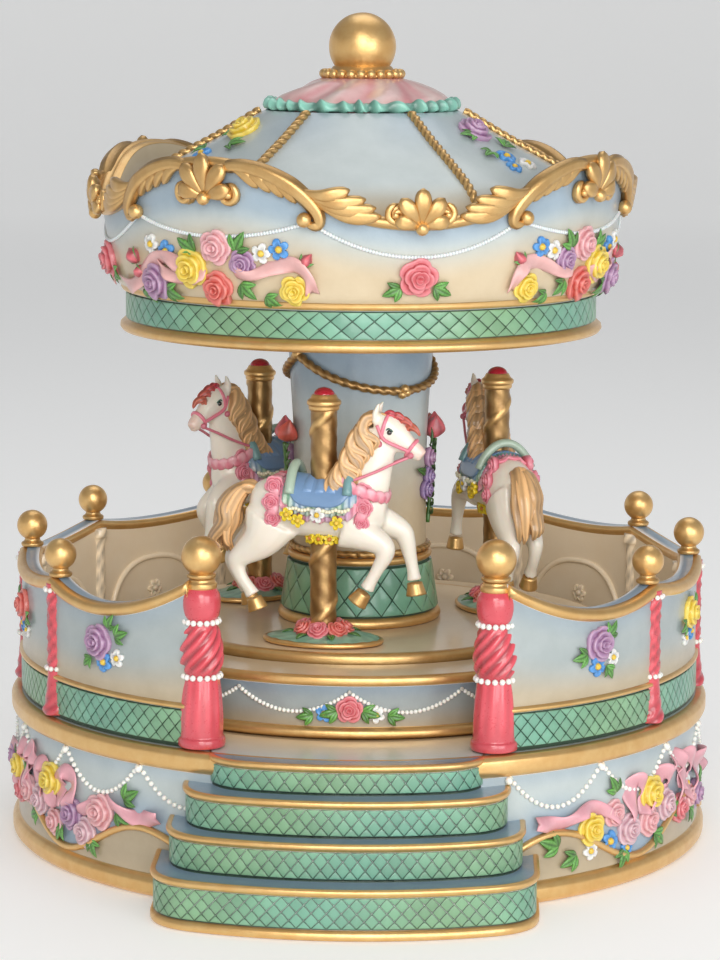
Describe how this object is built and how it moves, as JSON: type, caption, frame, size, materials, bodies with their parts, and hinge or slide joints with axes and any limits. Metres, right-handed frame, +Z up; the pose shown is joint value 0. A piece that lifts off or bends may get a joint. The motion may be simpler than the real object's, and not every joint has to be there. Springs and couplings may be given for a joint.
{
  "type": "carousel music box",
  "caption": "Wind-up music box: horses on a turntable under a scalloped canopy, on a round base with steps and a fence, with a key underneath.",
  "frame": {"origin": "middle of the footprint, base and front steps together, on the surface that it stands on", "axes": "+Z up along the carousel's axis, which stands 9.2 mm behind the origin; the steps face -Y; +X to the right seen from the front"},
  "size_m": [0.165, 0.1834, 0.192],
  "materials": {
    "blue_resin": "powder-blue paint fading to cream, under a clear glaze, on cast resin",
    "cream_resin": "cream paint with grey-blue shading, under a clear glaze, on cast resin",
    "green_resin": "soft green paint with a gilt lattice, on cast resin",
    "pink_resin": "rose paint, shaded darker in the hollows, glossy, on cast resin",
    "gilt_resin": "antique gold paint, metallic, rubbed darker in the hollows",
    "white_resin": "off-white paint with warm shading, glossy",
    "pearl_resin": "pearl paint with a soft lustre",
    "rose_resin": "rose petals painted pink, lilac, coral and yellow",
    "leaf_resin": "dark green leaf paint with lighter veins",
    "daisy_resin": "blue and white petals with a yellow eye",
    "ribbon_resin": "pale pink ribbon paint",
    "jewel_resin": "clear-coated red",
    "brass": "turned and stamped, lightly polished",
    "steel": "zinc-plated or spring steel, bright",
    "zinc": "grey die casting, as cast",
    "nylon": "moulded, off-white, satin"
  },
  "bodies": {
    "base": {"base_shell": "blue_resin", "front_steps": "green_resin", "balustrade_wall": "cream_resin", "newel_left": "pink_resin", "newel_right": "pink_resin", "newel_ball_left": "gilt_resin", "newel_ball_right": "gilt_resin", "post_finial_1": "gilt_resin", "post_finial_2": "gilt_resin", "post_finial_3": "gilt_resin", "post_finial_4": "gilt_resin", "post_finial_5": "gilt_resin", "post_finial_6": "gilt_resin", "post_finial_7": "gilt_resin", "post_finial_8": "gilt_resin", "post_finial_9": "gilt_resin", "plinth": "cream_resin", "thrust_washer": "nylon", "bottom_cover": "nylon", "cover_screw_1": "steel", "cover_screw_2": "steel", "cover_screw_3": "steel", "movement_screw_1": "steel", "movement_screw_2": "steel", "movement_screw_3": "steel", "movement_bedplate": "zinc", "governor_cock": "zinc", "music_comb": "steel", "comb_screw_1": "steel", "comb_screw_2": "steel", "ratchet_click": "steel"},
    "carousel": {"spring_barrel": "brass", "barrel_cap": "brass", "mainspring": "steel", "output_shaft": "steel", "drive_hub": "nylon", "turntable": "cream_resin", "column_drum": "green_resin", "column": "blue_resin", "mound_1": "green_resin", "pole_1": "gilt_resin", "horse_1": "white_resin", "mound_2": "green_resin", "pole_2": "gilt_resin", "horse_2": "white_resin", "mound_3": "green_resin", "pole_3": "gilt_resin", "horse_3": "white_resin", "canopy_ceiling": "cream_resin", "canopy_wall": "blue_resin", "canopy_roof": "blue_resin", "roof_cap": "pink_resin", "top_finial": "gilt_resin"},
    "winding": {"winding_key": "brass", "winding_arbor": "steel", "ratchet_wheel": "steel"},
    "music_cylinder": {"pin_cylinder": "brass", "cylinder_wheel": "nylon"},
    "governor_shaft": {"governor_wheel": "nylon"},
    "air_brake": {"governor_fan": "nylon"}
  },
  "joints": [
    {"name": "carousel_spin", "type": "hinge", "parent": "base", "child": "carousel", "pos_m": [0, 0.0092, 0.05], "axis": [0, 0, 1], "continuous": true},
    {"name": "cylinder_spin", "type": "hinge", "parent": "base", "child": "music_cylinder", "pos_m": [0.0314, 0.0092, 0.03375], "axis": [1, 0, 0], "continuous": true},
    {"name": "governor_spin", "type": "hinge", "parent": "base", "child": "governor_shaft", "pos_m": [0.0314, 0.00128, 0.02583], "axis": [1, 0, 0], "continuous": true},
    {"name": "air_brake_spin", "type": "hinge", "parent": "base", "child": "air_brake", "pos_m": [0.0346, -0.00632, 0.02583], "axis": [0, 0, 1], "continuous": true},
    {"name": "key_wind", "type": "hinge", "parent": "base", "child": "winding", "pos_m": [0, 0.0092, 0.01], "axis": [0, 0, 1], "range_deg": [0, 1170]}
  ],
  "couplings": [
    {"joint": "cylinder_spin", "follows": "carousel_spin", "ratio": 3},
    {"joint": "governor_spin", "follows": "carousel_spin", "ratio": -9},
    {"joint": "air_brake_spin", "follows": "carousel_spin", "ratio": 144}
  ]
}
